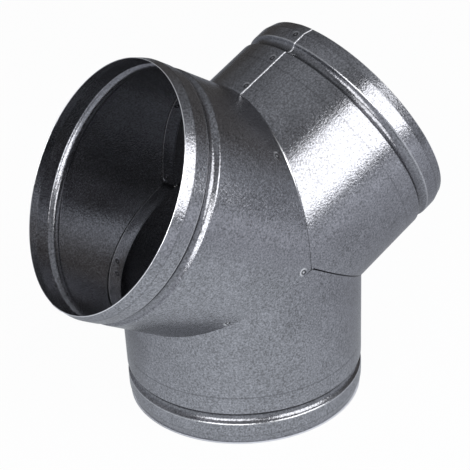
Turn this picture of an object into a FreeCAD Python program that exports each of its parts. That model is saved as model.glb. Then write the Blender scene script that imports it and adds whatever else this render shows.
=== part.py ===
# Y branch for round ventilation duct, in galvanised sheet.
#
# Three rolled legs of one diameter meet in one point. The stem stands on its rim, and two branches
# rise from it, left and right. Each leg is mitred to its two neighbours. At every mitre one sheet
# has a joggled flange that slips inside the other sheet, where spot welds hold it. Each leg is
# closed lengthwise by a lap, and ends in a spigot with a tapered lead-in and a rolled bead.
#
# Frame: +Z up the stem, +X towards the right branch, origin at the centre of the stem's rim.

import FreeCAD
import Part
import Sketcher
import os

# Driving sizes, in millimetres and degrees
SIZES = (
    ("duct_diameter", 199.0, "outside of every leg, to slip inside a 200 mm duct"),
    ("sheet_thickness", 0.5, "galvanised sheet"),
    ("stem_length", 144.0, "stem's rim to the point where the axes meet"),
    ("branch_length", 135.0, "branch's rim to the point where the axes meet"),
    ("branch_angle", 60.0, "lean of each branch from the stem's line"),
    ("lead_in_length", 8.0, "tapered stretch behind the rim"),
    ("lead_in_depth", 2.0, "how far the taper draws the rim's radius in"),
    ("bead_offset", 19.5, "rim to the near side of the rolled bead"),
    ("bead_width", 10.0, "rolled bead, along the leg"),
    ("bead_depth", 3.2, "rolled bead, inwards"),
    ("bead_shoulder", 2.0, "outside radius of the bead's two shoulders"),
    ("lap_width", 13.5, "overlap of the lengthwise lap, round the leg"),
    ("lap_ramp", 8.0, "stretch over which the upper sheet climbs onto the lap"),
    ("lap_sink", 0.1, "how far welding presses the upper sheet into the lower one"),
    ("lap_press", 0.1, "how much flatter the lap is rolled at the lead-in than at the bead"),
    ("flange_width", 10.0, "flange inside the neighbour, from the mitre plane"),
    ("flange_clearance", 0.1, "between a flange and the wall that covers it"),
    ("joggle_length", 1.5, "stretch of the flange that still lies flush with the outside"),
    ("edge_gap", 0.2, "between a covering sheet's edge and the joggle"),
    ("corner_gap", 0.3, "between two flanges that meet in one leg"),
)

# Sizes that follow from the driving ones
RADIUS = "(sizes.duct_diameter / 2)"
LAP_RISE = "(sizes.sheet_thickness - sizes.lap_sink)"
LAP_RIM_RISE = f"({LAP_RISE} - sizes.lap_press)"
LAP_ROOT = "(-sizes.sheet_thickness / 2)"
RAMP_FOOT = "(-sizes.sheet_thickness / 4)"
TRIM = "(sizes.joggle_length + sizes.edge_gap)"
FLANGE_OUTSIDE = f"({RADIUS} - sizes.sheet_thickness - sizes.flange_clearance)"
FLANGE_INSIDE = f"({FLANGE_OUTSIDE} - sizes.sheet_thickness)"
BEAD_RADII = "((sizes.bead_width ^ 2 / 4 + sizes.bead_depth ^ 2) / (2 * sizes.bead_depth))"
BEAD_END = "(sizes.bead_offset + sizes.bead_width)"
BEAD_MIDDLE = "(sizes.bead_offset + sizes.bead_width / 2)"
CORNER = "(sizes.corner_gap / 2)"
REACH = "sizes.duct_diameter"

# Half of the angle between the stem and a branch, and between the two branches
STEM_HALF = "(90 - sizes.branch_angle / 2)"
FORK_HALF = "sizes.branch_angle"

# Where each leg stands: its rim's centre and its turn about Y. A leg's own Z runs from its rim to
# the meeting point, and its own +X side faces the next leg round: base, right, left, base.
LEG_PLACES = {
    "base_leg": ("0", "0", "0"),
    "right_leg": (
        "sizes.branch_length * sin(sizes.branch_angle)",
        "sizes.stem_length + sizes.branch_length * cos(sizes.branch_angle)",
        "sizes.branch_angle - 180",
    ),
    "left_leg": (
        "-sizes.branch_length * sin(sizes.branch_angle)",
        "sizes.stem_length + sizes.branch_length * cos(sizes.branch_angle)",
        "180 - sizes.branch_angle",
    ),
}
LEG_LENGTHS = {
    "base_leg": "sizes.stem_length",
    "right_leg": "sizes.branch_length",
    "left_leg": "sizes.branch_length",
}

# Each leg's mitres: side of the leg, half angle, and how far the sheet stops short of the plane
LEG_MITRES = {
    "base_leg": ((1, STEM_HALF, "0"), (-1, STEM_HALF, "0")),
    "right_leg": ((1, FORK_HALF, "0"), (-1, STEM_HALF, TRIM)),
    "left_leg": ((1, STEM_HALF, TRIM), (-1, FORK_HALF, TRIM)),
}

# Each flange: the leg that it belongs to, the leg that covers it, the side there and the half angle
FLANGES = (
    ("base_leg", "right_leg", -1, STEM_HALF),
    ("base_leg", "left_leg", 1, STEM_HALF),
    ("right_leg", "left_leg", -1, FORK_HALF),
)


def fill_sheet(doc):
    """The driving sizes, one row each: name, number, meaning."""
    sheet = doc.addObject("Spreadsheet::Sheet", "sizes")
    for row, (name, value, meaning) in enumerate(SIZES, start=1):
        sheet.set(f"A{row}", name)
        sheet.set(f"B{row}", str(value))
        sheet.set(f"C{row}", meaning)
        sheet.setAlias(f"B{row}", name)
    doc.recompute()


def arc_angle(length):
    """The angle, round a leg, of an arc length on its outside."""
    return f"(360 * {length} / (pi * sizes.duct_diameter))"


def place(leg):
    """The placement of a leg's own frame."""
    x, z, turn = LEG_PLACES[leg]
    return f"placement(vector({x}; 0; {z}); rotation(vector(0; 1; 0); {turn}))"


def new_body(doc, name, leg):
    """A body that stands in a leg's own frame."""
    body = doc.addObject("PartDesign::Body", name)
    body.setExpression("Placement", place(leg))
    return body


def section_sketch(body, name, turn=None):
    """A sketch in the body's XZ plane, or in that plane turned about Z."""
    sketch = body.newObject("Sketcher::SketchObject", name)
    plane = next(item for item in body.Origin.OriginFeatures if item.Role == "XZ_Plane")
    sketch.AttachmentSupport = [(plane, "")]
    sketch.MapMode = "FlatFace"
    if turn:
        offset = f"placement(vector(0; 0; 0); rotation(vector(0; 1; 0); {turn}))"
        sketch.setExpression("AttachmentOffset", offset)
    return sketch


def dimension(sketch, direction, curve, end, expression):
    """Hold one coordinate of a curve's end at an expression."""
    axis = {"DistanceX": -2, "DistanceY": -1}[direction]
    if expression == "0":
        sketch.addConstraint(Sketcher.Constraint("PointOnObject", curve, end, axis))
        return
    value = sketch.evalExpression(expression)
    index = sketch.addConstraint(Sketcher.Constraint(direction, -1, 1, curve, end, value))
    sketch.setExpression(f"Constraints[{index}]", expression)


def draw_arc(sketch, first, last, arc):
    """Add the arc between two points, and say which of its ends comes first."""
    centre_x, centre_y, radius = arc
    centre = FreeCAD.Vector(sketch.evalExpression(centre_x), sketch.evalExpression(centre_y), 0)
    start = first - centre
    stop = last - centre
    turns_left = start.cross(stop).z > 0
    if not turns_left:
        start, stop = stop, start
    circle = Part.Circle(centre, FreeCAD.Vector(0, 0, 1), sketch.evalExpression(radius))
    begin = circle.parameter(centre + start)
    end = circle.parameter(centre + stop)
    sketch.addGeometry(Part.ArcOfCircle(circle, begin, end))
    return (1, 2) if turns_left else (2, 1)


def draw_outline(sketch, corners, arcs=None):
    """A closed outline: each corner is two expressions, and arcs gives centre and radius by side."""
    arcs = arcs or {}
    points = []
    for x, y in corners:
        points.append(FreeCAD.Vector(sketch.evalExpression(x), sketch.evalExpression(y), 0))
    count = len(corners)
    ends = []
    for side in range(count):
        first = points[side]
        last = points[(side + 1) % count]
        if side in arcs:
            ends.append(draw_arc(sketch, first, last, arcs[side]))
        else:
            sketch.addGeometry(Part.LineSegment(first, last))
            ends.append((1, 2))
    for side in range(count):
        following = (side + 1) % count
        joint = Sketcher.Constraint("Coincident", side, ends[side][1], following, ends[following][0])
        sketch.addConstraint(joint)
    for side, (x, y) in enumerate(corners):
        dimension(sketch, "DistanceX", side, ends[side][0], x)
        dimension(sketch, "DistanceY", side, ends[side][0], y)
    for side, arc in arcs.items():
        value = sketch.evalExpression(arc[2])
        index = sketch.addConstraint(Sketcher.Constraint("Radius", side, value))
        sketch.setExpression(f"Constraints[{index}]", arc[2])


def wall_line(offset, length, rim_offset=None):
    """Corners and arcs of a line beside the leg's outside, rim to top, an offset out from it."""
    rim_wall = f"{RADIUS} + {rim_offset or offset}"
    shoulder = f"(sizes.bead_shoulder + {offset})"
    share = f"({shoulder} / {BEAD_RADII})"
    wall = f"{RADIUS} + {offset}"
    shoulder_centre = f"{RADIUS} - sizes.bead_shoulder"
    valley_centre = f"{RADIUS} - sizes.bead_depth + {BEAD_RADII} - sizes.bead_shoulder"
    turn_x = f"{shoulder_centre} + ({BEAD_RADII} - sizes.bead_depth) * {share}"
    turn_z = f"sizes.bead_width / 2 * {share}"
    corners = [
        (f"{rim_wall} - sizes.lead_in_depth", "0"),
        (rim_wall, "sizes.lead_in_length"),
        (wall, "sizes.bead_offset"),
        (turn_x, f"sizes.bead_offset + {turn_z}"),
        (turn_x, f"{BEAD_END} - {turn_z}"),
        (wall, BEAD_END),
        (wall, length),
    ]
    arcs = {
        2: (shoulder_centre, "sizes.bead_offset", shoulder),
        3: (valley_centre, BEAD_MIDDLE, f"({BEAD_RADII} - {shoulder})"),
        4: (shoulder_centre, BEAD_END, shoulder),
    }
    return corners, arcs


def draw_wall(sketch, length, outside, inside, rim_outside=None):
    """The section of a sheet between two lines, each an offset out from the leg's outside."""
    corners, arcs = wall_line(outside, length, rim_outside)
    back_corners, back_arcs = wall_line(inside, length)
    last_side = 2 * len(corners) - 2
    for side, arc in back_arcs.items():
        arcs[last_side - side] = arc
    draw_outline(sketch, corners + back_corners[::-1], arcs)


def add_wall(body, length):
    """The rolled sheet: taper, plain stretch, bead and plain wall, turned about the leg's axis."""
    sketch = section_sketch(body, "wall_section")
    draw_wall(sketch, length, "0", "(-sizes.sheet_thickness)")
    wall = body.newObject("PartDesign::Revolution", "wall")
    wall.Profile = sketch
    wall.ReferenceAxis = (sketch, ["V_Axis"])
    wall.Angle = 360


def add_lap(body, length):
    """The lengthwise lap: the upper sheet climbs a ramp, lies on the lower one and ends in an edge."""
    sketch = section_sketch(body, "lap_section")
    draw_wall(sketch, length, LAP_RISE, LAP_ROOT, LAP_RIM_RISE)
    lap = body.newObject("PartDesign::Revolution", "lap")
    lap.Profile = sketch
    lap.ReferenceAxis = (sketch, ["V_Axis"])
    lap.setExpression("Angle", arc_angle("sizes.lap_width"))
    lap.Reversed = True
    foot = section_sketch(body, "ramp_foot", arc_angle("sizes.lap_ramp"))
    draw_wall(foot, length, RAMP_FOOT, LAP_ROOT)
    ramp = body.newObject("PartDesign::AdditiveLoft", "ramp")
    ramp.Profile = sketch
    ramp.Sections = [foot]
    ramp.Ruled = True


def mitre_point(side, half_angle, length, drop, distance):
    """The point of a mitre line at a distance from the axis, the line being dropped by an offset."""
    slope = f"cos({half_angle}) / sin({half_angle})"
    height = f"{length} - {drop} / sin({half_angle}) - {distance} * {slope}"
    across = "0" if distance == "0" else f"{side} * {distance}"
    return across, height


def add_mitre(body, length, side, half_angle, trim):
    """Cut one side of the leg along its mitre plane, or a trim short of it and past the axis."""
    sketch = section_sketch(body, "mitre_section")
    start = "0" if trim == "0" else f"(-{CORNER})"
    inner = mitre_point(side, half_angle, length, trim, start)
    outer = mitre_point(side, half_angle, length, trim, REACH)
    top = f"{length} + {REACH}"
    draw_outline(sketch, [inner, outer, (outer[0], top), (inner[0], top)])
    mitre = body.newObject("PartDesign::Pocket", "mitre")
    mitre.Profile = sketch
    mitre.SideType = "Symmetric"
    mitre.setExpression("Length", f"2 * {REACH}")


def make_leg(doc, leg):
    """One rolled leg, without its flanges."""
    body = new_body(doc, f"{leg}_sheet", leg)
    length = LEG_LENGTHS[leg]
    add_wall(body, length)
    add_lap(body, length)
    for side, half_angle, trim in LEG_MITRES[leg]:
        add_mitre(body, length, side, half_angle, trim)
    return body


def add_band(body, name, length, side, half_angle, width, inside, outside):
    """A band of tube wall along a mitre plane, from the plane to a width."""
    strip = section_sketch(body, f"{name}_strip")
    corners = []
    for drop, distance in (("0", CORNER), ("0", REACH), (width, REACH), (width, CORNER)):
        corners.append(mitre_point(side, half_angle, length, drop, distance))
    draw_outline(strip, corners)
    pad = body.newObject("PartDesign::Pad", name)
    pad.Profile = strip
    pad.SideType = "Symmetric"
    pad.setExpression("Length", f"2 * {REACH}")
    bottom = f"{length} - 2 * {REACH}"
    top = f"{length} + {REACH}"
    for part, near, far in (("bore", "0", inside), ("outside", outside, f"3 * {REACH}")):
        waste = section_sketch(body, f"{name}_{part}_section")
        draw_outline(waste, [(near, bottom), (far, bottom), (far, top), (near, top)])
        groove = body.newObject("PartDesign::Groove", f"{name}_{part}")
        groove.Profile = waste
        groove.ReferenceAxis = (waste, ["V_Axis"])
        groove.Angle = 360


def make_flange(doc, owner, cover, side, half_angle):
    """The owner's flange inside the covering leg, and the joggle that leads into it."""
    body = new_body(doc, f"{owner}_in_{cover}", cover)
    length = LEG_LENGTHS[cover]
    add_band(body, "flange", length, side, half_angle, "sizes.flange_width", FLANGE_INSIDE, FLANGE_OUTSIDE)
    add_band(body, "joggle", length, side, half_angle, "sizes.joggle_length", FLANGE_INSIDE, RADIUS)
    return body


def make_legs(doc):
    """All legs, each fused with its own flanges, named as their files are."""
    sheets = {leg: [make_leg(doc, leg)] for leg in LEG_PLACES}
    for owner, cover, side, half_angle in FLANGES:
        sheets[owner].append(make_flange(doc, owner, cover, side, half_angle))
    legs = []
    for leg, pieces in sheets.items():
        whole = pieces[0]
        if len(pieces) > 1:
            whole = doc.addObject("Part::MultiFuse", leg)
            whole.Shapes = pieces
            whole.Refine = True
        whole.Label = leg
        legs.append(whole)
    return legs


def check(doc, legs):
    """Stop if anything failed to build, or if a leg isn't one sound solid."""
    for item in doc.Objects:
        if "Invalid" in item.State or "Error" in item.State:
            raise RuntimeError(f"{item.Label} failed: {item.State}")
    for leg in legs:
        if leg.Shape.isNull() or not leg.Shape.isValid():
            raise RuntimeError(f"{leg.Label} has no valid shape")
        if len(leg.Shape.Solids) != 1:
            raise RuntimeError(f"{leg.Label} has {len(leg.Shape.Solids)} solids")


def main():
    doc = FreeCAD.newDocument("duct_y_branch")
    fill_sheet(doc)
    legs = make_legs(doc)
    doc.recompute()
    check(doc, legs)
    os.makedirs("parts", exist_ok=True)
    for leg in legs:
        solid = leg.Shape.Solids[0]
        solid.exportStep(f"parts/{leg.Label}.step")
        print(leg.Label, f"{solid.Volume:.0f} mm3")


main()
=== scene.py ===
# %% [markdown]
# # A duct Y branch in galvanised sheet
#
# The real object joins three round ventilation ducts. Three rolled legs of thin galvanised sheet
# meet in one point, each mitred to the other two. A flange on one sheet slips inside the next, and
# spot welds hold it. Each leg ends in a spigot with a tapered lead-in and a rolled bead.
#
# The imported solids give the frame. This lesson dresses them: every leg is built again as one
# surface in numpy, with the rounded folds, laps and weld marks that the eye looks for.

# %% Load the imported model
import math

import bpy
import numpy as np
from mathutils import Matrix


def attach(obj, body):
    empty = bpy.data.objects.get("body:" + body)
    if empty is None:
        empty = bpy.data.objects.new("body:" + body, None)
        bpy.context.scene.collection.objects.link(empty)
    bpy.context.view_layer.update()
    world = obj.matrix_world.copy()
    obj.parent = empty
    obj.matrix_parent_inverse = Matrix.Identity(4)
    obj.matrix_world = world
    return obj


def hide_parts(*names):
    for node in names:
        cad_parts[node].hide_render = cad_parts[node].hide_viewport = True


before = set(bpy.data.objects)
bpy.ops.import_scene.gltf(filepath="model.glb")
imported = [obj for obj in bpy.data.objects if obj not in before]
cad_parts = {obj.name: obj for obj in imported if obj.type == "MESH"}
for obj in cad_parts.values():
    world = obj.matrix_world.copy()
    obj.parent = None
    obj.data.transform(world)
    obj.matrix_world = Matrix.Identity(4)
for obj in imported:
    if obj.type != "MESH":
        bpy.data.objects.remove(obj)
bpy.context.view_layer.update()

print("nodes in the frame:", sorted(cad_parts))

# %% [markdown]
# ## The camera
#
# A camera can be aimed by hand, or its place can be worked out from the picture: the three rims
# are circles, and their ellipses fix the lens and the angle. The second way was used, so the numbers
# below are the result of that fit. The lens has no shift, and everything is in focus.

# %% Camera
MEETING = (0.0, 0.0, 0.144)
CAMERA_PLACE = (-0.4321, -0.6817, 0.5314)
CAMERA_TURN = (63.799, 2.675, -33.498)
CAMERA_LENS = 84.8

camera_data = bpy.data.cameras.new("photo_camera")
camera_data.lens = CAMERA_LENS
camera = bpy.data.objects.new("photo_camera", camera_data)
camera.location = CAMERA_PLACE
camera.rotation_euler = [math.radians(angle) for angle in CAMERA_TURN]
bpy.context.scene.collection.objects.link(camera)
bpy.context.scene.camera = camera
print("camera stands", round(math.dist(CAMERA_PLACE, MEETING), 3), "m from the meeting point")

# %% [markdown]
# ## Shader maths
#
# Node trees are easier to read as formulas. This small class wraps one socket, so that adding or
# multiplying two sockets writes the Math node, and any other node comes from one method. Two short
# methods built on that one serve what comes up again and again: a mix of two colours, and a smooth
# step between two values.

# %% A socket with arithmetic


class Field:
    """A socket of a node tree. Arithmetic on it adds Math nodes, and node() adds any other node."""

    def __init__(self, tree, socket=None):
        self.tree = tree
        self.socket = socket

    def node(self, kind, settings=None, inputs=None, output=0):
        """Add a node: its type, its settings, then the values or links of its sockets."""
        made = self.tree.nodes.new(kind)
        for name, setting in (settings or {}).items():
            setattr(made, name, setting)
        for name, value in (inputs or {}).items():
            if isinstance(value, Field):
                self.tree.links.new(value.socket, made.inputs[name])
            else:
                made.inputs[name].default_value = value
        return Field(self.tree, made.outputs[output] if made.outputs else None)

    def math(self, operation, first, second):
        """One Math node on two values, each a number or a field."""
        return self.node("ShaderNodeMath", {"operation": operation}, {0: first, 1: second})

    def mix(self, share, first, second):
        """Mix two colours by a share. The colour form of Mix has them in sockets 0, 6 and 7."""
        sockets = {0: share, 6: first, 7: second}
        return self.node("ShaderNodeMix", {"data_type": "RGBA"}, sockets, output=2)

    def smoothed(self, value, start, end, low=0.0, high=1.0):
        """Go from low to high with level ends, while the value goes from start to end."""
        return self.node("ShaderNodeMapRange", {"interpolation_type": "SMOOTHSTEP"}, {
            "Value": value, "From Min": start, "From Max": end, "To Min": low, "To Max": high})

    def __add__(self, other):
        return self.math("ADD", self, other)

    def __sub__(self, other):
        return self.math("SUBTRACT", self, other)

    def __rsub__(self, other):
        return self.math("SUBTRACT", other, self)

    def __mul__(self, other):
        return self.math("MULTIPLY", self, other)

    __radd__ = __add__
    __rmul__ = __mul__


def new_tree(owner):
    """Empty the node tree of a material or world, and return it as a field without a socket."""
    owner.use_nodes = True
    owner.node_tree.nodes.clear()
    return Field(owner.node_tree)


print("sockets can now be added, subtracted and multiplied")

# %% [markdown]
# ## The floor
#
# The fitting stands on a pale floor that looks white. More light could make a grey floor white, but
# it would burn out the metal first. So the paint gives off its own white to the camera and keeps a
# small share of its real shading, which leaves the object its shadow. In reflections the floor
# glows with a painted pool of light in front of the fitting, and is plain shaded paint further out.
# Inside the open stem it is plain paint to every eye, because no light gets in there.

# %% Floor
FLOOR_REACH = 40.0

floor_mesh = bpy.data.meshes.new("floor")
corner = np.array([(-1, -1, 0), (1, -1, 0), (1, 1, 0), (-1, 1, 0)]) * FLOOR_REACH
floor_mesh.from_pydata(corner.tolist(), [], [(0, 1, 2, 3)])
floor = bpy.data.objects.new("floor", floor_mesh)
bpy.context.scene.collection.objects.link(floor)
print("floor", 2 * FLOOR_REACH, "m wide")

# %% Paint of the floor
FLOOR_COLOUR = (0.625, 0.64, 0.685, 1)
WHITE = (1, 1, 1, 1)
WHITE_TO_CAMERA = 0.97
# Share, tint, centre and reach of the painted pool of light that the floor shows in the metal.
PAINTED_POOL_SHARE = 0.85
PAINTED_POOL_COLOUR = (0.905, 0.95, 1.0, 1)
PAINTED_POOL_CENTRE = (-0.14, -0.17, 0.0)
PAINTED_POOL_START, PAINTED_POOL_END = 0.04, 0.46
STEM_CENTRE = (0, 0, 0)
STEM_MOUTH = 0.0985

floor_paint = bpy.data.materials.new("floor_paint")
tree = new_tree(floor_paint)
shaded = tree.node("ShaderNodeBsdfDiffuse", inputs={"Color": FLOOR_COLOUR})
to_camera, in_metal, in_glass = [
    tree.node("ShaderNodeLightPath", output=name)
    for name in ("Is Camera Ray", "Is Glossy Ray", "Is Transmission Ray")]
# Seen by the camera the floor glows white, and in the metal with the painted pool's tint.
tint = tree.mix(in_metal, WHITE, PAINTED_POOL_COLOUR)
white = tree.node("ShaderNodeEmission", inputs={"Color": tint, "Strength": 1.0})
spot = tree.node("ShaderNodeTexCoord", output="Object")
from_stem, from_painted_pool = [
    tree.node("ShaderNodeVectorMath", {"operation": "DISTANCE"}, {0: spot, 1: centre}, output="Value")
    for centre in (STEM_CENTRE, PAINTED_POOL_CENTRE)]
# The painted pool of light is full at its centre and fades out towards its end.
painted_pool = tree.smoothed(from_painted_pool, PAINTED_POOL_START, PAINTED_POOL_END, low=1.0, high=0.0)
share = (to_camera + in_glass) * WHITE_TO_CAMERA + in_metal * painted_pool * PAINTED_POOL_SHARE
open_floor = tree.math("GREATER_THAN", from_stem, STEM_MOUTH)
mixed = tree.node("ShaderNodeMixShader", inputs={0: share * open_floor, 1: shaded, 2: white})
tree.node("ShaderNodeOutputMaterial", inputs={"Surface": mixed})
floor_mesh.materials.append(floor_paint)
print("floor paint has", len(floor_paint.node_tree.nodes), "nodes")

# %% [markdown]
# ## Two soft lights
#
# Zinc shows little of its own colour: it shows what stands round it. On the real fitting the
# highlights are broad bands with a darker band between them, as two soft boxes with a gap leave them.
# Point lamps would give thin hard lines instead, so two rectangular area lights do the work. Each
# faces the meeting point from a side angle and a height angle. Its power goes with its area, so both
# look equally bright in the metal.

# %% Soft lights
LIGHT_DISTANCE = 2.4
LIGHT_BRIGHTNESS = 4.1
LIGHTS = {"front_light": dict(side=17.5, height=28.7, width=2.0, tall=1.87),
          "left_light": dict(side=-50.0, height=20.5, width=1.9, tall=1.5)}


def add_soft_light(name, side, height, width, tall):
    """A rectangular light that faces the meeting point, from a side angle and a height angle."""
    data = bpy.data.lights.new(name, "AREA")
    data.shape = "RECTANGLE"
    data.size = width
    data.size_y = tall
    data.energy = LIGHT_BRIGHTNESS * math.pi * width * tall
    lamp = bpy.data.objects.new(name, data)
    side, height = math.radians(side), math.radians(height)
    flat = LIGHT_DISTANCE * math.cos(height)
    lamp.location = (
        MEETING[0] + flat * math.sin(side),
        MEETING[1] - flat * math.cos(side),
        MEETING[2] + LIGHT_DISTANCE * math.sin(height),
    )
    lamp.rotation_euler = (math.pi / 2 - height, 0, side)
    bpy.context.scene.collection.objects.link(lamp)
    return lamp


for name, sizes in LIGHTS.items():
    print(name, "of", round(add_soft_light(name, **sizes).data.energy, 1), "W")

# %% [markdown]
# ## The dim room
#
# Beside the lights the metal mirrors a dim room. A picture of a room could be wrapped round the
# scene, but a few soft patches are enough here and stay easy to change. Each patch has a direction.
# The dot product with the direction looked in says how near that is, a smooth step makes a share of
# it, and the patch's colour is mixed in by that share. Later patches lie over earlier ones.

# %% Dim room
ROOM_COLOUR = (0.225, 0.232, 0.246, 1)
ROOM_PATCHES = {
    "ceiling": dict(towards=(0, 0, 1), start=0.85, end=1.0, colour=(0.41, 0.425, 0.45, 1)),
    "left wall": dict(towards=(-0.8, 0.3, 0.5), start=0.6, end=0.88, colour=(0.385, 0.395, 0.42, 1)),
    "glow": dict(towards=(0.52, -0.44, 0.73), start=0.88, end=0.98, colour=(0.44, 0.455, 0.48, 1)),
    "right wall": dict(towards=(1, 0, 0), start=0.7, end=0.88, colour=(0.085, 0.076, 0.07, 1)),
    "horizon": dict(towards=(0, 0, -1), start=-0.44, end=-0.26, colour=(0.44, 0.46, 0.505, 1)),
    "dark corner": dict(towards=(0.75, 0.66, -0.6), start=0.22, end=0.62,
                        colour=(0.13, 0.123, 0.118, 1)),
}

world = bpy.data.worlds.new("dim_room")
bpy.context.scene.world = world
tree = new_tree(world)
direction = tree.node("ShaderNodeTexCoord", output="Generated")
tint = ROOM_COLOUR
for patch in ROOM_PATCHES.values():
    facing = tree.node("ShaderNodeVectorMath", {"operation": "DOT_PRODUCT"}, {
        0: direction, 1: patch["towards"]}, output="Value")
    share = tree.smoothed(facing, patch["start"], patch["end"])
    tint = tree.mix(share, tint, patch["colour"])
room = tree.node("ShaderNodeBackground", inputs={"Color": tint, "Strength": 1.0})
tree.node("ShaderNodeOutputWorld", inputs={"Surface": room})
bpy.context.scene.view_settings.view_transform = "Standard"
print("room", ROOM_COLOUR[:3], "with", len(ROOM_PATCHES), "patches")

# %% [markdown]
# ## Galvanised sheet
#
# Hot dipped zinc is a satin metal with a very fine grain. Each grain is a crystal that leans its own
# way, so a highlight doesn't end in a clean line but breaks up into sparkling dots. A photo of the
# sheet could be wrapped round the legs, but a noise in three dimensions has no seam and no
# stretching. One fine noise turns the grain into colour, roughness and bump together, a broad noise
# adds the cloudy look of handled metal, and faint cells are the larger crystals. At a grazing angle
# zinc mirrors a little less than a perfect metal, so the tint of its edge is grey. Two attributes of
# the mesh carry real marks and painted light. One makes bare cut edges pale, painted paler still as
# highlights, adds painted highlights at the welds, and paints a bright line on the bead's shoulder.
# The other darkens weld burns and roll marks, and paints shade into the weld rings, the gaps at the
# joggles, the lead-in's crease, the bead's valley and the flange corners.

# %% Galvanised material
GRAIN = dict(size=0.0014, detail=2.0, roughness=0.6)
CLOUD = dict(size=0.045, detail=3.0, roughness=0.55)
SPANGLE_SIZE = 0.007
NOISE_MIDDLE = 0.5
GRAIN_CONTRAST, CLOUD_CONTRAST, SPANGLE_CONTRAST = 2.1, 0.35, 0.08
ZINC_DARK = (0.127, 0.128, 0.134, 1)
ZINC_PALE = (0.412, 0.416, 0.446, 1)
BARE_STEEL_AND_HIGHLIGHT = (0.93, 0.93, 0.94, 1)
DARK_MARK_AND_SHADE = (0.03, 0.03, 0.033, 1)
METAL_SHARE = 0.95
EDGE_TINT = (0.74, 0.74, 0.74, 1)
SATIN, GRAIN_SATIN, CLOUD_SATIN = 0.18, 0.2, 0.1
BUMP_DEPTH = 0.00015
BUMP_STRENGTH = 1.0


def noise(tree, place, size, detail, roughness):
    """A lumpy value about one half, whose largest lumps have the given size in metres."""
    return tree.node("ShaderNodeTexNoise", inputs={
        "Vector": place, "Scale": 1 / size, "Detail": detail, "Roughness": roughness})


def galvanised_sheet():
    """Metal whose colour, roughness and bump share a grain, with clouds, marks and painted light."""
    material = bpy.data.materials.new("galvanised_sheet")
    tree = new_tree(material)
    place = tree.node("ShaderNodeTexCoord", output="Object")
    grain = noise(tree, place, **GRAIN)
    cloud = noise(tree, place, **CLOUD)
    crystal = tree.node("ShaderNodeTexVoronoi", inputs={
        "Vector": place, "Scale": 1 / SPANGLE_SIZE}, output="Color")
    spangle = tree.node("ShaderNodeSeparateColor", inputs={"Color": crystal})
    # Pale bare cut edges, painted highlights and the painted shoulder line, as a share at each point.
    edge = tree.node("ShaderNodeAttribute", {"attribute_name": "bare_edge_and_highlight"}, output="Fac")
    # Weld burns and roll marks, and painted shade, as a share at each point.
    dark = tree.node("ShaderNodeAttribute", {"attribute_name": "dark_mark_and_shade"}, output="Fac")

    lightness = ((grain - NOISE_MIDDLE) * GRAIN_CONTRAST + (cloud - NOISE_MIDDLE) * CLOUD_CONTRAST
                 + (spangle - NOISE_MIDDLE) * SPANGLE_CONTRAST + NOISE_MIDDLE)
    zinc = tree.mix(lightness, ZINC_DARK, ZINC_PALE)
    marked_and_shaded = tree.mix(dark, zinc, DARK_MARK_AND_SHADE)
    colour = tree.mix(edge, marked_and_shaded, BARE_STEEL_AND_HIGHLIGHT)
    roughness = (grain - NOISE_MIDDLE) * GRAIN_SATIN + (cloud - NOISE_MIDDLE) * CLOUD_SATIN + SATIN
    bump = tree.node("ShaderNodeBump", inputs={
        "Height": grain, "Strength": BUMP_STRENGTH, "Distance": BUMP_DEPTH})
    metal = tree.node("ShaderNodeBsdfPrincipled", inputs={
        "Base Color": colour, "Metallic": METAL_SHARE, "Specular Tint": EDGE_TINT,
        "Roughness": roughness, "Normal": bump})
    tree.node("ShaderNodeOutputMaterial", inputs={"Surface": metal})
    return material


galvanised = galvanised_sheet()
print("material", galvanised.name, "with", len(galvanised.node_tree.nodes), "nodes")

# %% [markdown]
# ## The rolled wall
#
# A leg is rolled from flat sheet, so its section is the same all round: a tapered lead-in, a plain
# stretch, a bead pressed inwards, and plain wall. The section could be drawn as a curve and spun,
# but a formula for the radius at each height lets later steps add marks to it. The sizes follow the
# solids, apart from a slightly deeper lead-in and bead. They are in millimetres, in a leg's own
# frame: the rim's centre is the origin, Z runs to the meeting point, and the +X side faces the next
# leg round.

# %% Section of the wall
MM = 0.001
RADIUS = 99.5
SHEET = 0.5
LEAD_IN_LENGTH, LEAD_IN_DEPTH, LEAD_IN_EASE = 8.0, 2.4, 0.35
BEAD_MIDDLE, BEAD_WIDTH, BEAD_DEPTH, BEAD_SHOULDER = 24.0, 11.8, 3.4, 2.0
BEAD_HALF = BEAD_WIDTH / 2
BEAD_RADII = (BEAD_HALF**2 + BEAD_DEPTH**2) / (2 * BEAD_DEPTH)


def eased(distance, ease):
    """Zero below zero and the distance above it, with a parabola over the ease on both sides."""
    middle = (distance + ease) ** 2 / (4 * ease)
    return np.where(distance < -ease, 0.0, np.where(distance > ease, distance, middle))


def wall_radius(z, offset):
    """Radius of a line that lies an offset outside the wall, at a height z above the rim.

    It is the plain radius less a straight taper towards the rim. In the bead it follows two shoulder
    arcs and, between them, a valley arc that is tangent to both.
    """
    taper = LEAD_IN_DEPTH / LEAD_IN_LENGTH * eased(LEAD_IN_LENGTH - z, LEAD_IN_EASE)
    plain = RADIUS + offset - taper
    across = np.abs(z - BEAD_MIDDLE)
    shoulder = BEAD_SHOULDER + offset
    valley = BEAD_RADII - shoulder
    rising = np.sqrt(np.maximum(shoulder**2 - (BEAD_HALF - across) ** 2, 0))
    hollow = np.sqrt(np.maximum(valley**2 - across**2, 0))
    on_shoulder = RADIUS - BEAD_SHOULDER + rising
    in_valley = RADIUS - BEAD_DEPTH + BEAD_RADII - BEAD_SHOULDER - hollow
    bead = np.where(across < BEAD_HALF * valley / BEAD_RADII, in_valley, on_shoulder)
    return np.where(across < BEAD_HALF, bead, plain)


print("radius at the rim and in the bead:", wall_radius(np.array([0.0, BEAD_MIDDLE]), 0.0).round(2))

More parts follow.
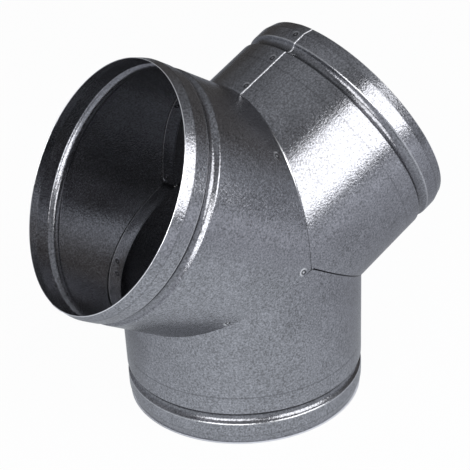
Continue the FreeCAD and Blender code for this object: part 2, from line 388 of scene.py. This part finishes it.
# %% [markdown]
# ## The lap
#
# The rolled sheet overlaps itself along each leg. Outside, the upper sheet's edge stands up as a
# step, and beyond the overlap the sheet runs down a ramp to the plain wall. A strip could be laid on
# the wall for it, but its edges would float or dig in. As a rise that is added to the radius, it
# stays part of the leg's one skin.

# %% Relief of the lap
LAP_EDGE, LAP_END, RAMP_END = -7.77, 0.0, 4.6
LAP_RISE = 0.4
LAP_PRESS = 0.1


def smooth(share):
    """Rises from 0 to 1 with level ends: three squares less two cubes."""
    share = np.clip(share, 0, 1)
    return share * share * (3 - 2 * share)


def lap_rise(degrees, z, skin):
    """Height of the upper sheet above the plain wall, outside (skin 1) or inside (skin -1).

    Outside it jumps up at the exposed edge and runs down a ramp beyond the overlap. Inside the lower
    sheet covers it, so only the ramp shows, behind that sheet's end. The lead-in rolls it flatter.
    """
    rise = LAP_RISE - LAP_PRESS * (1 - smooth((z - LEAD_IN_LENGTH) / LEAD_IN_LENGTH))
    ramp = rise * (1 - smooth((degrees - LAP_END) / (RAMP_END - LAP_END)))
    start = LAP_EDGE if skin > 0 else LAP_END
    return np.where(degrees < start, 0.0, ramp)


lap_width = RADIUS * math.radians(LAP_END - LAP_EDGE)
print("lap is", round(lap_width, 1), "mm wide and rises", LAP_RISE, "mm")

# %% [markdown]
# ## Spot welds
#
# Three spot welds close each lap, and more hold the flanges. The electrode presses a shallow dish
# with a deeper ring into the sheet. The ring is burnt dark, and painted shade in its groove darkens
# it further. A highlight is painted as a dot in its middle and as a crescent beside it. A bump map
# could fake the relief, but then it would be missing from the mesh. So the depth is a formula of
# the distance from the weld's middle, and the dark and the bright parts are values at the points,
# which the material reads.

# %% Dishes, rings and crescents
WELD_DISH, WELD_DISH_EASE, WELD_DISH_DEPTH = 3.7, 1.0, 0.08
WELD_RING, WELD_RING_WIDTH, WELD_RING_DEPTH = 1.55, 0.7, 0.32
WELD_CRESCENT = 2.8


def bell(distance, width):
    """A rounded hump of height one: e to the minus square of distance over width."""
    return np.exp(-((distance / width) ** 2))


def weld_distance(phi, z, weld):
    """Distance along the sheet from a weld, which is an angle, a height and a painted highlight."""
    turn = (phi - math.radians(weld[0]) + math.pi) % (2 * math.pi) - math.pi
    return np.hypot(RADIUS * turn, z - weld[1])


def weld_depth(phi, z, welds):
    """Sum over the welds of a flat dish with a deeper ring, both pressed into the sheet."""
    depth = np.zeros(np.broadcast(phi, z).shape)
    for weld in welds:
        away = weld_distance(phi, z, weld)
        depth += WELD_DISH_DEPTH * (1 - smooth((away - WELD_DISH + WELD_DISH_EASE) / WELD_DISH_EASE))
        depth += WELD_RING_DEPTH * bell(away - WELD_RING, WELD_RING_WIDTH)
    return depth


def weld_marks(phi, z, welds):
    """How dark and how bright the sheet is painted at the welds: a dark ring with a bright dot in it.

    The ring is the weld's burn with painted shade in its groove. The dot is a painted highlight, and
    so is a crescent beside the ring, which is strongest towards the rim of the leg: there half of one
    less the rise over the distance is 1. Both highlights go with the weld's own strength.
    """
    dark, bright = np.zeros((2, *np.broadcast(phi, z).shape))
    for weld in welds:
        away = weld_distance(phi, z, weld)
        # Dark ring: the weld's burn, with painted shade in its groove.
        dark += bell(away - WELD_RING, WELD_RING_WIDTH)
        rimward = 0.5 - 0.5 * (z - weld[1]) / np.maximum(away, WELD_RING_WIDTH)
        # Painted highlights: a dot in the middle, and a crescent towards the rim.
        bright += weld[2] * bell(away, WELD_RING_WIDTH)
        bright += weld[2] * bell(away - WELD_CRESCENT, WELD_RING_WIDTH) * smooth(rimward)
    return dark, bright


print("weld rings are", 2 * WELD_RING, "mm across and", WELD_RING_DEPTH, "mm deep")

# %% [markdown]
# ## Traces of rolling, and painted shade
#
# The rolls leave a fine dark mark round a leg above the bead. Besides it, shade is painted into the
# crease where the lead-in begins and into the bead's valley, and a bright line is painted on the
# bead's shoulder. These have next to no depth, so they are values at the points and no shapes. The
# sheet itself comes out slightly uneven. Noise could make that, but rolled metal swells in long even
# waves, and sine waves of different lengths look more like it.

# %% Roll marks, painted shade and waves
ROLL_MARK, ROLL_MARK_WIDTH = 43.5, 0.6
# Painted shade in the crease where the lead-in begins, and in the bead's valley.
CREASE_WIDTH, CREASE_SHADE = 0.45, 0.35
VALLEY_WIDTH, VALLEY_SHADE = 3.4, 0.35
# A line painted bright along the bead's shoulder on the rim's side.
SHOULDER_LINE_PLACE, SHOULDER_LINE_WIDTH, SHOULDER_LINE_SHARE = 18.8, 0.45, 0.4
WAVES = ((3, 31.0, 0.0), (5, -23.0, 1.0), (8, 17.0, 2.0))
WAVE_HEIGHT, WAVE_START, WAVE_GROWTH = 0.05, 30.0, 15.0


def roll_marks_and_painted_shade(z, roll_shade):
    """Dark roll mark and painted shade, and bright painted line: each a bell of the height above the
    rim.
    """
    dark = roll_shade * bell(z - ROLL_MARK, ROLL_MARK_WIDTH)
    dark += CREASE_SHADE * bell(z - LEAD_IN_LENGTH, CREASE_WIDTH)
    dark += VALLEY_SHADE * bell(z - BEAD_MIDDLE, VALLEY_WIDTH)
    return dark, SHOULDER_LINE_SHARE * bell(z - SHOULDER_LINE_PLACE, SHOULDER_LINE_WIDTH)


def sheet_waves(phi, z):
    """Slight unevenness of rolled sheet: slow sine waves that stay below the plain wall.

    Each wave goes a number of times round the leg, shifts with the height and has its own start. They
    grow from nothing above the bead.
    """
    waves = sum(np.sin(times * phi + z / pitch + start) for times, pitch, start in WAVES)
    return WAVE_HEIGHT / len(WAVES) * (waves - len(WAVES)) * smooth((z - WAVE_START) / WAVE_GROWTH)


print(len(WAVES), "waves, up to", 2 * WAVE_HEIGHT, "mm deep")

# %% [markdown]
# ## The fold at a mitre
#
# Where two legs meet, one sheet runs up to the mitre plane, folds, and goes on as a flange inside
# the next leg. Both legs have one radius, so that flange is the mirror image of the wall below
# the plane. That gives a simple rule: take the wall point that lies as far below the plane, and
# lift it along the plane's normal by twice the distance. Easing the distance with a parabola
# rounds the fold. Past the fold the flange dips by a sheet's thickness to get under the next leg,
# which is called a joggle, and then springs off its wall a little.

# %% Rows of the sheet, from the rim to its last edge
MITRE = math.radians(60)
RIM_TURNS = (0, 30, 60, 90)
FLANGE_WIDTH, FLANGE_STEP = 12.0, 0.4
FLANGE_DROP = 0.6
FLANGE_SPRING, FLANGE_SPRING_START = 0.9, 4.0
FOLD_ROWS, JOGGLE_ROWS, BLEND_STEPS, ARC_ROWS = 7, 5, 8, 8
LOW_DIGITS, MERGE_DIGITS = 5, 4

# Heights up to LOW_TOP are fixed. From HIGH_START on the rows are distances past the mitre plane. Two
# flanges of one leg part at SPLIT, and a flange beside a cut edge is free from HIGH_END on.
LOW_TOP, HIGH_START, HIGH_END, SPLIT = 46.0, -13.0, -1.7, -1.0
LOW_ROWS = [0.6, 2.0, 4.0, 6.0, 7.3, 7.65, 8.0, 8.35, 8.7, 12.0, 16.0, 18.0, 30.5, 32.0, 38.0, LOW_TOP]
HIGH_ROWS = [HIGH_START, -9.0, -5.0, -3.0, HIGH_END]

# Close rows lie at the two lower welds of the lap, at the roll mark and at the welds of the seams.
LOW_MARK_STEP, HIGH_MARK_STEP = 0.35, 0.4
LOW_MARK_ROWS = np.concatenate([
    np.arange(9.0, 15.4, LOW_MARK_STEP),
    np.arange(34.5, 41.2, LOW_MARK_STEP),
    np.linspace(42.3, 44.7, 9)])
HIGH_MARK_ROWS = np.arange(HIGH_START, HIGH_END - HIGH_MARK_STEP / 2, HIGH_MARK_STEP)


def flange_rows(seam):
    """Distances past the mitre plane: close at the fold and at the joggle, then even steps."""
    fold = np.linspace(-seam["ease"], seam["ease"], FOLD_ROWS)
    joggle = seam["trim"] - seam["gap"] * np.linspace(1, 0, JOGGLE_ROWS)
    level = np.arange(seam["trim"] + FLANGE_STEP, FLANGE_WIDTH - FLANGE_STEP / 4, FLANGE_STEP)
    return np.concatenate([[SPLIT], fold, joggle, level, [FLANGE_WIDTH]])


def bead_rows(offset):
    """Heights through the bead at even steps along its arcs, for a line at an offset."""
    lean = np.linspace(0, math.asin(BEAD_HALF / BEAD_RADII), ARC_ROWS)
    shoulder = BEAD_SHOULDER + offset
    away = np.concatenate([BEAD_HALF - shoulder * np.sin(lean),
                           (BEAD_RADII - shoulder) * np.sin(lean)])
    return np.concatenate([BEAD_MIDDLE - away, BEAD_MIDDLE + away])


def sheet_rows(skin, seam, flanged):
    """Rows of one skin: height, share taken from the mitre, distance past its plane, and offset.

    The first rows round the cut rim by a half circle. The next have a fixed height. Then the height
    turns by even shares into one that follows the mitre, and the last rows follow it alone. Only the
    outer skin has the close rows that its welds and roll marks need.
    """
    half = SHEET / 2
    face = half * (skin - 1)
    turn = np.radians(RIM_TURNS)
    low_marks, high_marks = (LOW_MARK_ROWS, HIGH_MARK_ROWS) if skin > 0 else ([], [])
    low = np.unique(np.concatenate([LOW_ROWS, low_marks, bead_rows(face)]).round(LOW_DIGITS))
    between = np.linspace(0, 1, BLEND_STEPS + 1)[1:-1]
    last = flange_rows(seam) if flanged else [-seam["trim"]]
    high = np.unique(np.concatenate([HIGH_ROWS, high_marks, last]).round(MERGE_DIGITS))
    z = np.concatenate([half * (1 - np.cos(turn)), low, 0 * between + LOW_TOP, 0 * high])
    share = np.concatenate([0 * turn, 0 * low, between, 0 * high + 1])
    past = np.concatenate([np.full(len(z) - len(high), HIGH_START), high])
    joggle = FLANGE_DROP * smooth((past - seam["trim"]) / seam["gap"] + 1)
    drop = joggle + FLANGE_SPRING * smooth((past - FLANGE_SPRING_START) / FLANGE_WIDTH)
    offset = np.concatenate([half * (skin * np.sin(turn) - 1), np.full(len(z) - len(turn), face)])
    return z, share, past, offset - drop


print("rows that carry marks:", len(LOW_MARK_ROWS) + len(HIGH_MARK_ROWS))

# %% [markdown]
# ## Columns round a leg
#
# A column runs along the leg at one angle. A weld ring is 3 mm across on a wall that is 625 mm round,
# so even columns that are close enough for it would make a mesh far too heavy. The columns stand wide
# apart on plain wall and close together at the lap's step, on its ramp and at each weld. Both halves
# of a leg have a column at the angles where they meet, so that they join up.

# %% Columns
COLUMN_STEP = 3.0
FINE_STEP, FINE_REACH = 0.25, 2.5
LAP_COLUMNS = np.concatenate([
    LAP_EDGE + np.array([-0.6, -0.2, -0.05, 0.0, 0.12, 0.4]),
    LAP_END + np.array([-0.03, 0.0]),
    [1.1, 2.3, 3.4, RAMP_END]])


def columns(side, welds):
    """Angles of one half of a leg in degrees: even steps, closer at its lap and at its welds."""
    first = -90 if side > 0 else 90
    reach = np.arange(-FINE_REACH, FINE_REACH + FINE_STEP / 2, FINE_STEP)
    fine = np.concatenate([LAP_COLUMNS] + [weld[0] + reach for weld in welds])
    fine = (fine - first) % 360 + first
    even = np.arange(first, first + 180 + COLUMN_STEP / 2, COLUMN_STEP)
    apart = np.abs(even[:, None] - fine).min(axis=1) > COLUMN_STEP / 4
    kept = np.concatenate([even[apart], fine, [first, first + 180]])
    kept = np.unique(kept.round(MERGE_DIGITS))
    return kept[(kept >= first) & (kept <= first + 180)]


print("columns on a half without welds:", len(columns(1, [])))

# %% [markdown]
# ## One leg as a grid
#
# Each half of a leg is a grid: columns go round, rows go from the rim to the last edge. The outer
# skin and the inner skin share the rim's middle line, and a strip closes them at the other end. A
# flange also needs its two short ends closed. Points that two grids share are merged by their
# rounded coordinates, which leaves one closed skin with no seams.
#
# Welds show only where the eye can reach them: outside on the wall, and inside on the flange. On the
# real fitting one stretch of cut edge between the branches stands up a little and catches the light,
# so there the last row is flared, and a highlight is painted on it.

# %% Points of one skin
CORNER_GAP, CORNER_EASE = 0.15, 0.8
LAP_FADE_START, LAP_FADE_LENGTH = -1.2, 1.5
# Where the highlight painted on a covering cut edge is strongest, and how far round it spreads.
GLINT_ANGLE, GLINT_SPREAD = 226.0, 12.0
EDGE_FLARE = 0.42


def half_centre(side):
    """Angle in the middle of a half: 0 degrees on the +X side of the leg, 180 on the other."""
    return 0.0 if side > 0 else 180.0


def point_angles(degrees, past, side):
    """Angle of each point: its column's, but past the mitre plane kept a small gap off the corner."""
    limit = 90 - math.degrees(CORNER_GAP / RADIUS) * smooth(past / CORNER_EASE)
    return np.clip(degrees[:, None] - half_centre(side), -limit, limit) + half_centre(side)


def weld_rows(past, skin):
    """Which rows show their welds: those of the wall outside, and those of the flange inside."""
    return past <= 0 if skin > 0 else past > 0


def skin_points(turned, rows, length, side, seam, flanged, welds, skin):
    """Points of a skin, and the height above the rim at which each one has its radius.

    A point's height blends its own height with the mitre's, which falls from the leg's length by
    the distance across times the mitre's slope. Its radius is the wall's plus all relief. Past the
    mitre plane it is lifted along the plane's normal by the eased distance.
    """
    z, share, past, offset = rows
    phi = np.radians(turned)
    below = eased(-past, seam["ease"]) * 2 + past
    lift = past + below
    reach = RADIUS + offset
    mitre = length - (reach * np.abs(np.cos(phi))) / math.tan(MITRE) - below / math.sin(MITRE)
    height = (1 - share) * z + share * mitre
    lap = lap_rise((turned + 180) % 360 - 180, height, skin)
    lap *= 1 - smooth((past - LAP_FADE_START) / LAP_FADE_LENGTH)
    radius = wall_radius(height, offset + 0 * phi) + lap + sheet_waves(phi, height)
    if not flanged:
        flare = EDGE_FLARE * seam["edge_glint"] * bell(turned - GLINT_ANGLE, GLINT_SPREAD)
        radius += flare * (past > HIGH_END)
    radius -= skin * weld_depth(phi, height, welds) * weld_rows(past, skin)
    x = radius * np.cos(phi) + lift * math.cos(MITRE) * side
    zed = height + lift * math.sin(MITRE)
    return np.stack([x, radius * np.sin(phi), zed], axis=-1), height


print("flanges stop", CORNER_GAP, "mm off the corner, and the flared edge rises", EDGE_FLARE, "mm")

# %% Marks of one skin
LAST_ROWS = 2
# Where the lap's edge is painted pale as a highlight line.
LAP_BARE_START, LAP_BARE_END = LAP_EDGE - 0.02, LAP_EDGE + 0.42
JOGGLE_SHADE = 0.5
# Reach of the painted shade at a flange's corner, and of the dulled highlight there.
CORNER_SHADE, CORNER_DULL = 1.0, 3.0


def skin_marks(turned, height, past, side, seam, flanged, welds, roll_shade, skin):
    """How bare and bright, and how dark, each point of a skin is painted, both from 0 to 1.

    The marks of welds and rolls add up, painted light included, and the rolls touch the outer skin
    only. Cut edges are pale and bare, painted paler still as highlights: the rim, the lap's edge and
    the last rows, as far as their seam lets them glint. A flange has painted shade in its joggle,
    where it goes under the next leg, and at its corners.
    """
    marks = weld_marks(np.radians(turned), height, welds)
    dark, edge = [mark * weld_rows(past, skin) for mark in marks]
    if skin > 0:
        # The outer skin gets the roll mark, the painted shade and the painted shoulder line.
        rolled_and_shaded, shoulder_line = roll_marks_and_painted_shade(height, roll_shade)
        dark += rolled_and_shaded
        edge += shoulder_line
    # The rim's bare cut edge, painted pale as a highlight.
    edge[:, :len(RIM_TURNS)] = 1
    # Painted highlight on the last rows: near one angle of a covering edge, all along a flange.
    glint = seam["edge_glint"] * bell(turned[:, -LAST_ROWS:] - GLINT_ANGLE, GLINT_SPREAD)
    edge[:, -LAST_ROWS:] = seam["flange_glint"] if flanged else glint
    # The lap's bare cut edge and the strip beside it, painted pale as a highlight line.
    lap_edge = (turned > LAP_BARE_START) & (turned < LAP_BARE_END) & (past < 0)
    edge[lap_edge & (skin > 0)] = 1
    if flanged:
        on_flange = past > 0
        # Painted shade in the joggle, where the flange dips under the next leg and leaves a gap.
        joggle = (past > seam["trim"] - seam["gap"]) & (past < seam["trim"] + JOGGLE_SHADE)
        dark = np.maximum(dark, joggle * seam["joggle_shade"])
        # Painted shade at a flange's corners, where its edge's painted highlight is taken away.
        corner = RADIUS * np.radians(90 - np.abs(turned - half_centre(side)))
        dark = np.maximum(dark, bell(corner, CORNER_SHADE) * on_flange)
        edge *= 1 - bell(corner, CORNER_DULL) * on_flange
    return np.clip(edge, 0, 1), np.clip(dark, 0, 1)


bare_width = RADIUS * math.radians(LAP_BARE_END - LAP_BARE_START)
print("the lap's bare edge is", round(bare_width, 2), "mm wide")

# %% Faces of a grid


def grid_faces(number, flip=False):
    """Quads between neighbours of a numbered grid, wound to face outwards, or turned round."""
    corners = [number[:-1, :-1], number[1:, :-1], number[1:, 1:], number[:-1, 1:]]
    quads = np.stack(corners, axis=-1).reshape(-1, 4)
    return quads[:, ::-1] if flip else quads


def half_leg(length, side, seam, flanged, other_flanged, wall, flange, roll_shade):
    """Points, marks and faces of one half of a leg: two skins, the last edge and the flange's ends."""
    degrees = columns(side, wall + flange)
    skins = []
    for skin, welds in ((1, wall), (-1, flange)):
        rows = sheet_rows(skin, seam, flanged)
        past = rows[2]
        turned = point_angles(degrees, past, side)
        points, height = skin_points(turned, rows, length, side, seam, flanged, welds, skin)
        marks = skin_marks(turned, height, past, side, seam, flanged, welds, roll_shade, skin)
        skins.append((points, *marks))
    shapes = [points.shape[:2] for points, *_ in skins]
    outer = np.arange(np.prod(shapes[0])).reshape(shapes[0])
    inner = np.arange(np.prod(shapes[1])).reshape(shapes[1]) + outer.size
    faces = [grid_faces(outer), grid_faces(inner, flip=True)]
    faces.append(grid_faces(np.stack([outer[:, -1], inner[:, -1]], axis=1)))
    faces.append(grid_faces(np.stack([inner[:, 0], outer[:, 0]], axis=1)))
    if flanged:
        count = int(np.sum(past >= (SPLIT if other_flanged else HIGH_END)))
        for column, flip in ((0, False), (-1, True)):
            strip = np.stack([outer[column, -count:], inner[column, -count:]], axis=1)
            faces.append(grid_faces(strip, flip=flip))
    parts = [np.concatenate([skin[item].reshape(-1, *skin[item].shape[2:]) for skin in skins])
             for item in range(3)]
    return (*parts, np.concatenate(faces))


print("a grid of 3 by 4 points has", len(grid_faces(np.arange(12).reshape(3, 4))), "faces")

# %% [markdown]
# ## The seams and their welds
#
# The left leg lies outermost and covers a flange of the right leg and one of the base leg. The right
# leg covers the base leg's other flange. For each seam, trim says how far from the mitre plane the
# covering sheet ends, gap how long the joggle is, and ease how round the fold is. A fourth value says
# how much shade is painted into the joggle, where the sheets leave a gap. The glints say how bright
# the highlights painted on the two cut edges are.
#
# A weld shows twice: outside on the covering leg, and inside on the flange, at the mirrored angle.
# The weld places below follow the photograph where it shows them, and are evenly spread where it
# doesn't. Welds of the seams carry the brightest painted highlights, and those inside nearly none.

# %% Seams and welds
STEM_LENGTH, BRANCH_LENGTH = 144.0, 135.0
LENGTHS = {"base_leg": STEM_LENGTH, "right_leg": BRANCH_LENGTH, "left_leg": BRANCH_LENGTH}
# Strength of the highlight painted on welds of the lap, of the seams, and inside.
LAP_WELD_HIGHLIGHT, SEAM_WELD_HIGHLIGHT, INSIDE_WELD_HIGHLIGHT = 0.3, 1.0, 0.15
SEAMS = (
    dict(cover="left_leg", side=1, owner="base_leg", trim=1.0, gap=0.25, ease=0.5, joggle_shade=0.35,
         edge_glint=0.0, flange_glint=0.5, welds=((-53.3, 4.0), (0, 5.0), (37.5, 4.0), (44.5, 6.5))),
    dict(cover="left_leg", side=-1, owner="right_leg", trim=1.0, gap=0.5, ease=0.5, joggle_shade=0.6,
         edge_glint=1.0, flange_glint=1.0, welds=((226, 8.5), (180, 6.0), (134, 7.4), (93, 9.0))),
    dict(cover="right_leg", side=-1, owner="base_leg", trim=1.7, gap=1.2, ease=1.0, joggle_shade=1.0,
         edge_glint=0.0, flange_glint=0.1, welds=((200, 5.0), (160, 5.0), (120, 5.0))),
)
LAP_WELDS = [(-3.7, 11.4, LAP_WELD_HIGHLIGHT), (-4.6, 38.5, LAP_WELD_HIGHLIGHT)]
LAST_LAP_WELD = (-6.0, 7.3)
CORNER_WELDS = {"left_leg": ((-88, 4.0),)}


def weld_place(leg, angle, distance, brightness):
    """A weld's angle, height and painted highlight, from its angle and distance from the mitre plane.
    """
    across = RADIUS * abs(math.cos(math.radians(angle)))
    return angle, LENGTHS[leg] - across / math.tan(MITRE) - distance / math.sin(MITRE), brightness


def leg_welds(leg):
    """Welds in the leg's own wall, and those in its flanges."""
    wall = LAP_WELDS + [weld_place(leg, *LAST_LAP_WELD, LAP_WELD_HIGHLIGHT)]
    wall += [weld_place(leg, *weld, SEAM_WELD_HIGHLIGHT) for weld in CORNER_WELDS.get(leg, ())]
    flange = []
    for seam in SEAMS:
        if seam["cover"] == leg:
            wall += [weld_place(leg, *weld, SEAM_WELD_HIGHLIGHT) for weld in seam["welds"]]
        if seam["owner"] == leg:
            flange += [weld_place(leg, 180 - angle, distance, INSIDE_WELD_HIGHLIGHT)
                       for angle, distance in seam["welds"]]
    return wall, flange


for leg in LENGTHS:
    print(leg, "has", [len(welds) for welds in leg_welds(leg)], "welds in its wall and flanges")

# %% [markdown]
# ## The three legs
#
# A leg's grid is made in its own frame and then turned about the Y axis to its place. The object
# could be turned instead, but a pattern in object coordinates would turn with it, so the place goes
# into the mesh. The solids have the same places, so each piece can stand for its node. Smooth shading
# with sharp edges above an angle keeps the rolled wall round and the cut edges crisp.

# %% Place and clean a grid
LEG_TURNS = {"base_leg": 0.0, "right_leg": -120.0, "left_leg": 120.0}


def place_leg(points, leg):
    """Turn a leg's points about Y and move its rim to its distance from the meeting point."""
    angle = math.radians(LEG_TURNS[leg])
    up = points[:, 2] - LENGTHS[leg]
    x = points[:, 0] * math.cos(angle) + up * math.sin(angle)
    z = up * math.cos(angle) - points[:, 0] * math.sin(angle) + STEM_LENGTH
    return np.stack([x, points[:, 1], z], axis=-1) * MM


def clean_faces(quads):
    """Quads as lists: one with two equal neighbours becomes a triangle, one with more is dropped."""
    equal = quads == np.roll(quads, -1, axis=1)
    count = equal.sum(axis=1)
    triangles = quads[count == 1][~equal[count == 1]].reshape(-1, 3)
    return quads[count == 0].tolist() + triangles.tolist()


for leg in LENGTHS:
    print(leg, "has its rim's centre at", place_leg(np.zeros((1, 3)), leg)[0].round(4), "m")

# %% Build the legs
ROLL_MARK_SHADES = {"base_leg": 0.4, "right_leg": 0.3, "left_leg": 0.0}
SHARP_ANGLE = 35.0


def make_leg(leg):
    """Build one leg as a closed mesh: two halves, merged where they share points."""
    owned = {-seam["side"]: seam for seam in SEAMS if seam["owner"] == leg}
    covered = {seam["side"]: seam for seam in SEAMS if seam["cover"] == leg}
    seams = {**owned, **covered}
    wall, flange = leg_welds(leg)
    halves = [half_leg(LENGTHS[leg], side, seams[side], side in owned, -side in owned, wall, flange,
                       ROLL_MARK_SHADES[leg]) for side in (1, -1)]
    start = len(halves[0][0])
    points, edge, dark = [np.concatenate([half[item] for half in halves]) for item in range(3)]
    faces = np.concatenate([halves[0][3], halves[1][3] + start])
    _, first, merged = np.unique(points.round(MERGE_DIGITS) + 0.0, axis=0,
                                 return_index=True, return_inverse=True)
    mesh = bpy.data.meshes.new(leg + "_sheet")
    mesh.from_pydata(place_leg(points[first], leg).tolist(), [], clean_faces(merged.reshape(-1)[faces]))
    # Pale bare edges with painted highlights, and dark marks with painted shade, go to the points.
    for name, values in (("bare_edge_and_highlight", edge), ("dark_mark_and_shade", dark)):
        attribute = mesh.attributes.new(name, "FLOAT", "POINT")
        attribute.data.foreach_set("value", values[first].astype(np.float32))
    mesh.shade_smooth()
    mesh.set_sharp_from_angle(angle=math.radians(SHARP_ANGLE))
    mesh.materials.append(galvanised)
    piece = bpy.data.objects.new(leg + "_sheet", mesh)
    bpy.context.scene.collection.objects.link(piece)
    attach(piece, "root")
    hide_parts(leg)
    print(piece.name, len(mesh.vertices), "points,", len(mesh.polygons), "faces")


for leg in LENGTHS:
    make_leg(leg)
